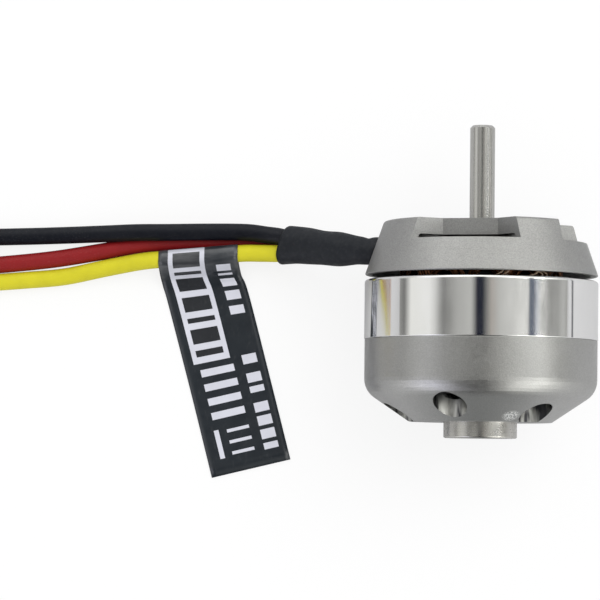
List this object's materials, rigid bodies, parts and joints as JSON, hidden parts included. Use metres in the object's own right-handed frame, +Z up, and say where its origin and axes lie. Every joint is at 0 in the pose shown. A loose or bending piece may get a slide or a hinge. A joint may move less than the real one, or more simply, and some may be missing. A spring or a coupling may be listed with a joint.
{
  "type": "brushless outrunner motor",
  "caption": "Small brushless outrunner motor lying on its side: conical mount, polished flux ring, vented bell, steel shaft and soft leads with a blank flag label and bullet plugs.",
  "frame": {"origin": "centre of the mounting face, on the shaft's axis", "axes": "+Y along the shaft towards its free tip; -X towards the leads; +Z up, with the motor lying on its side"},
  "size_m": [0.1163, 0.0427, 0.028],
  "materials": {
    "mount_aluminium": "bead-blasted satin",
    "bell_aluminium": "fine satin",
    "ring_chrome": "mirror polished",
    "shaft_steel": "ground",
    "bearing_steel": "polished",
    "shield_steel": "pressed",
    "cage_brass": "pressed",
    "lamination_steel": "stacked laminations",
    "insulator_green": "moulded",
    "copper": "enamelled wire",
    "shrink_black": "heat-shrunk",
    "shrink_red": "heat-shrunk",
    "shrink_yellow": "heat-shrunk",
    "silicone_black": "matt silicone",
    "silicone_red": "matt silicone",
    "silicone_yellow": "matt silicone",
    "connector_gold": "gold plated",
    "tag_vinyl": "smooth vinyl film",
    "magnet_nickel": "nickel plated",
    "bush_steel": "turned",
    "clip_steel": "blackened spring steel",
    "spacer_brass": "turned"
  },
  "bodies": {
    "stator": {"mount_flange": "mount_aluminium", "front_bearing_outer_race": "bearing_steel", "front_bearing_shields": "shield_steel", "rear_bearing_outer_race": "bearing_steel", "rear_bearing_shields": "shield_steel", "stator_stack": "lamination_steel", "slot_insulator_front": "insulator_green", "slot_insulator_rear": "insulator_green", "phase_a_coils": "copper", "phase_b_coils": "copper", "phase_c_coils": "copper", "winding_tails": "copper", "lead_sleeve": "shrink_black", "lead_black": "silicone_black", "lead_red": "silicone_red", "lead_yellow": "silicone_yellow", "lead_tag": "tag_vinyl", "connector_black": "connector_gold", "connector_red": "connector_gold", "connector_yellow": "connector_gold", "connector_sleeve_black": "shrink_black", "connector_sleeve_red": "shrink_red", "connector_sleeve_yellow": "shrink_yellow"},
    "rotor": {"shaft": "shaft_steel", "bell": "bell_aluminium", "flux_ring": "ring_chrome", "magnets_north": "magnet_nickel", "magnets_south": "magnet_nickel", "hub_bush": "bush_steel", "shaft_clip": "clip_steel", "front_washer": "shield_steel", "rear_spacer": "spacer_brass", "front_bearing_inner_race": "bearing_steel", "rear_bearing_inner_race": "bearing_steel"},
    "front_ball_set": {"front_bearing_balls": "bearing_steel", "front_bearing_cage": "cage_brass"},
    "rear_ball_set": {"rear_bearing_balls": "bearing_steel", "rear_bearing_cage": "cage_brass"}
  },
  "joints": [
    {"name": "rotor_spin", "type": "hinge", "parent": "stator", "child": "rotor", "pos_m": [0, 0, 0], "axis": [0, 1, 0], "continuous": true},
    {"name": "front_balls_spin", "type": "hinge", "parent": "stator", "child": "front_ball_set", "pos_m": [0, -0.0019, 0], "axis": [0, 1, 0], "continuous": true},
    {"name": "rear_balls_spin", "type": "hinge", "parent": "stator", "child": "rear_ball_set", "pos_m": [0, -0.015, 0], "axis": [0, 1, 0], "continuous": true}
  ],
  "couplings": [
    {"joint": "front_balls_spin", "follows": "rotor_spin", "ratio": 0.3824},
    {"joint": "rear_balls_spin", "follows": "rotor_spin", "ratio": 0.3824}
  ]
}
